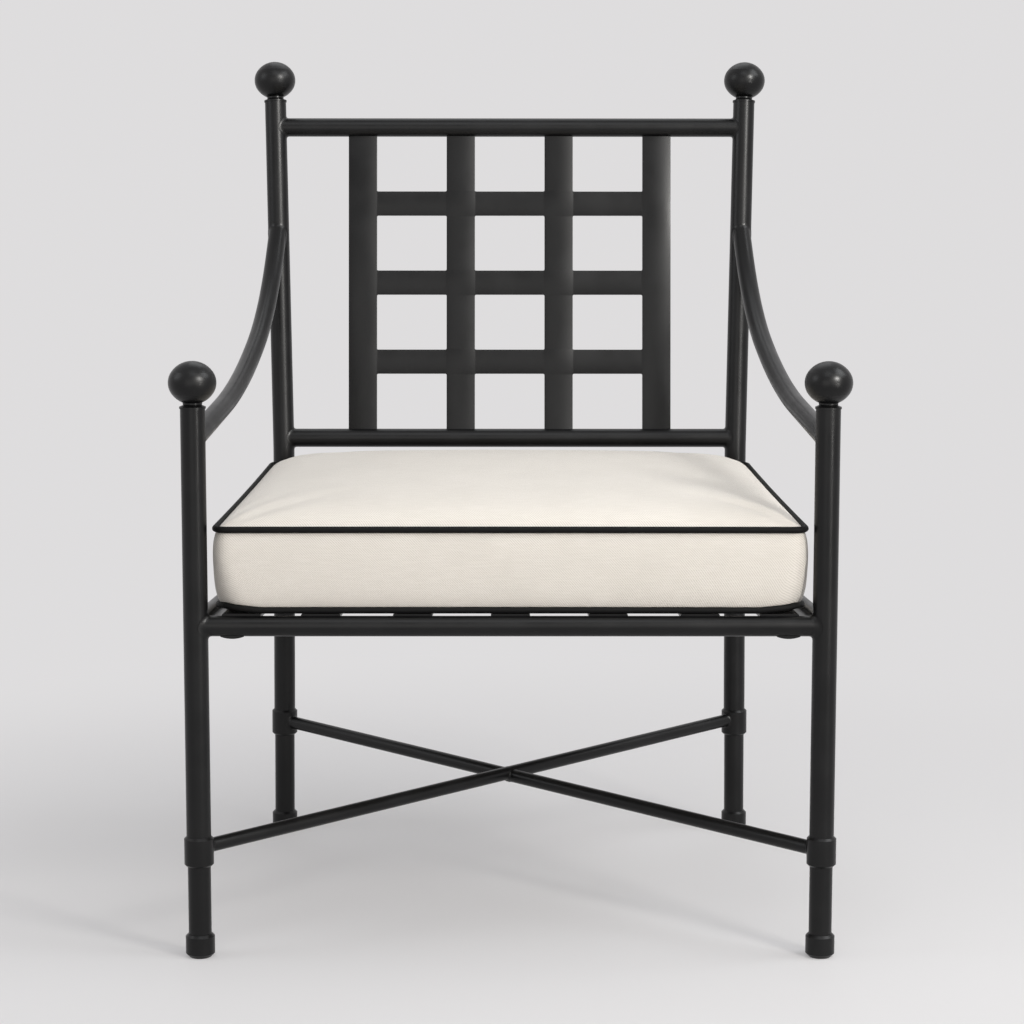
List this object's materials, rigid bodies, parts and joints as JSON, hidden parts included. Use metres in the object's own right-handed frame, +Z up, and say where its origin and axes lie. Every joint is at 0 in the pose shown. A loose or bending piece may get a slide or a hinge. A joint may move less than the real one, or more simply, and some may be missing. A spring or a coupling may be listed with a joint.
{
  "type": "garden armchair",
  "caption": "Garden armchair of round metal tube with ball finials, a flat-bar lattice back, swept arms, a crossed stretcher and a loose piped seat cushion.",
  "frame": {"origin": "centre of the bounding box, on the floor under the feet", "axes": "+Z up, the chair faces -Y, and +X is the right-hand side for someone who looks at its front"},
  "size_m": [0.692, 0.6317, 0.9321],
  "materials": {
    "frame_coating": "satin",
    "cover_fabric": "matte",
    "foam": "matte",
    "piping_fabric": "matte"
  },
  "bodies": {
    "frame": {"front_post_left": "frame_coating", "front_post_right": "frame_coating", "rear_post_left": "frame_coating", "rear_post_right": "frame_coating", "front_legs": "frame_coating", "front_collars": "frame_coating", "front_foot_caps": "frame_coating", "front_finials": "frame_coating", "rear_legs": "frame_coating", "rear_collars": "frame_coating", "rear_foot_caps": "frame_coating", "rear_finials": "frame_coating", "seat_front_rail": "frame_coating", "seat_rear_rail": "frame_coating", "seat_side_rail_left": "frame_coating", "seat_side_rail_right": "frame_coating", "seat_slat_1": "frame_coating", "seat_slat_2": "frame_coating", "seat_slat_3": "frame_coating", "seat_slat_4": "frame_coating", "seat_slat_5": "frame_coating", "seat_slat_6": "frame_coating", "seat_slat_7": "frame_coating", "front_rail_plugs": "frame_coating", "back_top_rail": "frame_coating", "back_low_rail": "frame_coating", "back_upright_1": "frame_coating", "back_upright_2": "frame_coating", "back_upright_3": "frame_coating", "back_upright_4": "frame_coating", "back_crossbar_1": "frame_coating", "back_crossbar_2": "frame_coating", "back_crossbar_3": "frame_coating", "arm_left": "frame_coating", "arm_right": "frame_coating", "stretcher_long_rod": "frame_coating", "stretcher_half_rod_front": "frame_coating", "stretcher_half_rod_rear": "frame_coating"},
    "cushion": {"cushion_cover": "cover_fabric", "cushion_foam": "foam", "cushion_piping_top": "piping_fabric", "cushion_piping_bottom": "piping_fabric"}
  },
  "joints": [
    {"name": "cushion_lift", "type": "slide", "parent": "frame", "child": "cushion", "axis": [0, -0.9397, 0.342], "range_m": [0, 0.6]}
  ]
}
